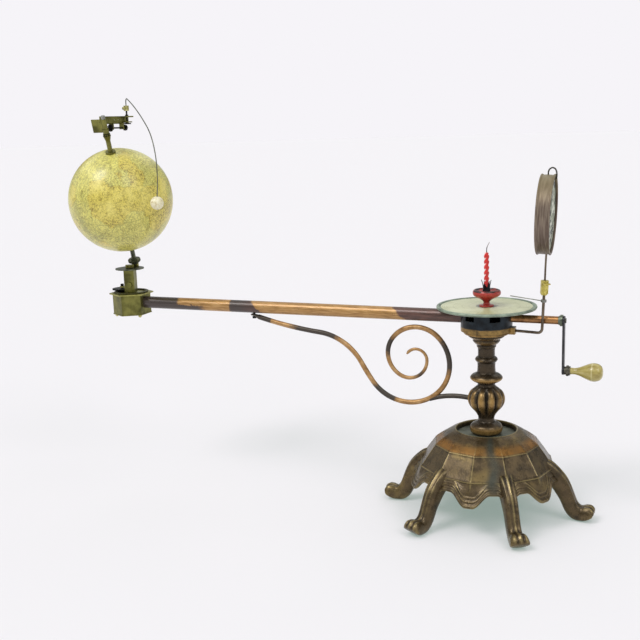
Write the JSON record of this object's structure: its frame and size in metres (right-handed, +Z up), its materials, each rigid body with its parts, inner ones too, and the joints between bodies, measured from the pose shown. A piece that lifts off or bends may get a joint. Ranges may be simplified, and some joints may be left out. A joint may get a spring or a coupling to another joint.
{
  "type": "orrery",
  "caption": "School orrery: a hand crank turns a long arm with a tilted globe and its moon round a candle and calendar disc on a footed cast stand.",
  "frame": {"origin": "on the ground under the axis that the column and the arm turn about", "axes": "+Z up, -X along the arm to the globe, +X to the crank, -Y to the front"},
  "size_m": [0.6312, 0.2164, 0.472],
  "materials": {
    "bronzed_iron": "bronzed, worn",
    "dark_plate": "dull",
    "steel": "aged",
    "brass": "tarnished",
    "disc_metal": "worn",
    "chart_paper": "varnished paper",
    "red_paint": "worn",
    "black_steel": "blackened",
    "wax": "waxy",
    "wick_cotton": "burnt",
    "painted_tube": "worn two-colour",
    "copper_tube": "satin",
    "gilt_iron": "worn gold",
    "rod_steel": "aged",
    "horn": "polished",
    "globe_paper": "aged varnish",
    "pale_brass": "satin",
    "moon_bone": "satin",
    "reflector_tin": "tarnished"
  },
  "bodies": {
    "stand": {"base_casting": "bronzed_iron", "recess_plate": "dark_plate", "spindle": "steel", "spindle_nut": "steel", "thrust_washer": "brass", "sun_wheel": "steel", "calendar_disc": "disc_metal", "calendar_chart": "chart_paper", "candle_cup": "red_paint", "candle_clip": "black_steel"},
    "candle_body": {"candle": "wax", "wick": "wick_cotton"},
    "arm": {"column": "bronzed_iron", "column_bushes": "brass", "gear_cage": "black_steel", "arm_tube": "painted_tube", "stub_tube": "copper_tube", "shaft_bushes": "brass", "scroll_bracket": "gilt_iron", "bracket_screws": "black_steel", "gearbox_shell": "brass", "gearbox_floor": "brass", "gearbox_lid": "brass", "lid_ring": "black_steel", "gearbox_screws": "brass", "reflector_rod": "rod_steel", "date_pointer": "rod_steel"},
    "crank": {"crank_shaft": "steel", "crank_pinion": "brass", "crank_flange": "steel", "crank_arm": "black_steel", "grip_pin": "steel"},
    "grip": {"crank_grip": "horn", "grip_ferrule": "steel"},
    "shaft": {"arm_shaft": "steel", "sun_pinion": "brass", "table_pinion": "brass"},
    "axis_table": {"table_wheel": "brass", "table_post": "brass", "planet_cock": "brass", "table_plate": "dark_plate", "axis_socket": "brass", "axis_rod": "steel", "rod_cap": "steel", "moon_bracket": "brass"},
    "planet": {"planet_arbor": "black_steel", "planet_wheel": "black_steel"},
    "day": {"day_arbor": "brass"},
    "globe": {"globe_ball": "globe_paper", "lower_sleeve": "steel", "upper_sleeve": "brass"},
    "moon_drive": {"moon_arbor": "black_steel"},
    "moon": {"moon_spindle": "black_steel", "wire_clamp": "pale_brass", "moon_wire": "rod_steel", "moon_ball": "moon_bone"},
    "reflector_clamp": {"rod_clamp": "pale_brass"},
    "clamp_screw": {"thumb_screw": "pale_brass"},
    "reflector": {"reflector_stem": "rod_steel", "reflector_drum": "reflector_tin"}
  },
  "joints": [
    {"name": "arm_turn", "type": "hinge", "parent": "stand", "child": "arm", "pos_m": [0, 0, 0.2], "axis": [0, 0, 1], "continuous": true},
    {"name": "crank_turn", "type": "hinge", "parent": "arm", "child": "crank", "pos_m": [0.08, 0, 0.222], "axis": [1, 0, 0], "continuous": true},
    {"name": "grip_spin", "type": "hinge", "parent": "crank", "child": "grip", "pos_m": [0.1, 0, 0.1675], "axis": [1, 0, 0], "continuous": true},
    {"name": "shaft_turn", "type": "hinge", "parent": "arm", "child": "shaft", "pos_m": [-0.24, 0, 0.222], "axis": [1, 0, 0], "continuous": true},
    {"name": "table_turn", "type": "hinge", "parent": "arm", "child": "axis_table", "pos_m": [-0.4547, 0, 0.234], "axis": [0, 0, 1], "continuous": true},
    {"name": "planet_turn", "type": "hinge", "parent": "axis_table", "child": "planet", "pos_m": [-0.46947, 0.00261, 0.238], "axis": [0, 0, 1], "continuous": true},
    {"name": "day_turn", "type": "hinge", "parent": "axis_table", "child": "day", "pos_m": [-0.4547, 0, 0.25], "axis": [0, 0, 1], "continuous": true},
    {"name": "globe_spin", "type": "hinge", "parent": "axis_table", "child": "globe", "pos_m": [-0.45394, 0.01263, 0.265], "axis": [0.1032, -0.3852, 0.9171], "continuous": true},
    {"name": "moon_drive_turn", "type": "hinge", "parent": "axis_table", "child": "moon_drive", "pos_m": [-0.4339, -0.062, 0.438], "axis": [0.1736, 0.9848, 0], "continuous": true},
    {"name": "moon_orbit", "type": "hinge", "parent": "axis_table", "child": "moon", "pos_m": [-0.4273, -0.02458, 0.447], "axis": [0, 0, 1], "continuous": true},
    {"name": "candle_lift", "type": "slide", "parent": "stand", "child": "candle_body", "axis": [0, 0, 1], "range_m": [0, 0.04]},
    {"name": "reflector_swivel", "type": "hinge", "parent": "arm", "child": "reflector_clamp", "pos_m": [0.0632, -0.00796, 0.25196], "axis": [0.0419, 0, 0.9991], "range_deg": [-90, 90]},
    {"name": "reflector_slide", "type": "slide", "parent": "reflector_clamp", "child": "reflector", "axis": [0.0419, 0, 0.9991], "range_m": [0, 0.006]},
    {"name": "clamp_screw_turn", "type": "hinge", "parent": "reflector_clamp", "child": "clamp_screw", "pos_m": [0.06367, -0.00796, 0.26325], "axis": [0.4222, -0.9063, -0.0177], "range_deg": [0, 180]}
  ],
  "couplings": [
    {"joint": "crank_turn", "follows": "arm_turn", "ratio": 4},
    {"joint": "shaft_turn", "follows": "arm_turn", "ratio": -4},
    {"joint": "table_turn", "follows": "arm_turn", "ratio": -1},
    {"joint": "planet_turn", "follows": "arm_turn", "ratio": 6},
    {"joint": "day_turn", "follows": "arm_turn", "ratio": -24},
    {"joint": "globe_spin", "follows": "arm_turn", "ratio": 16},
    {"joint": "moon_drive_turn", "follows": "arm_turn", "ratio": 16},
    {"joint": "moon_orbit", "follows": "arm_turn", "ratio": 12}
  ]
}
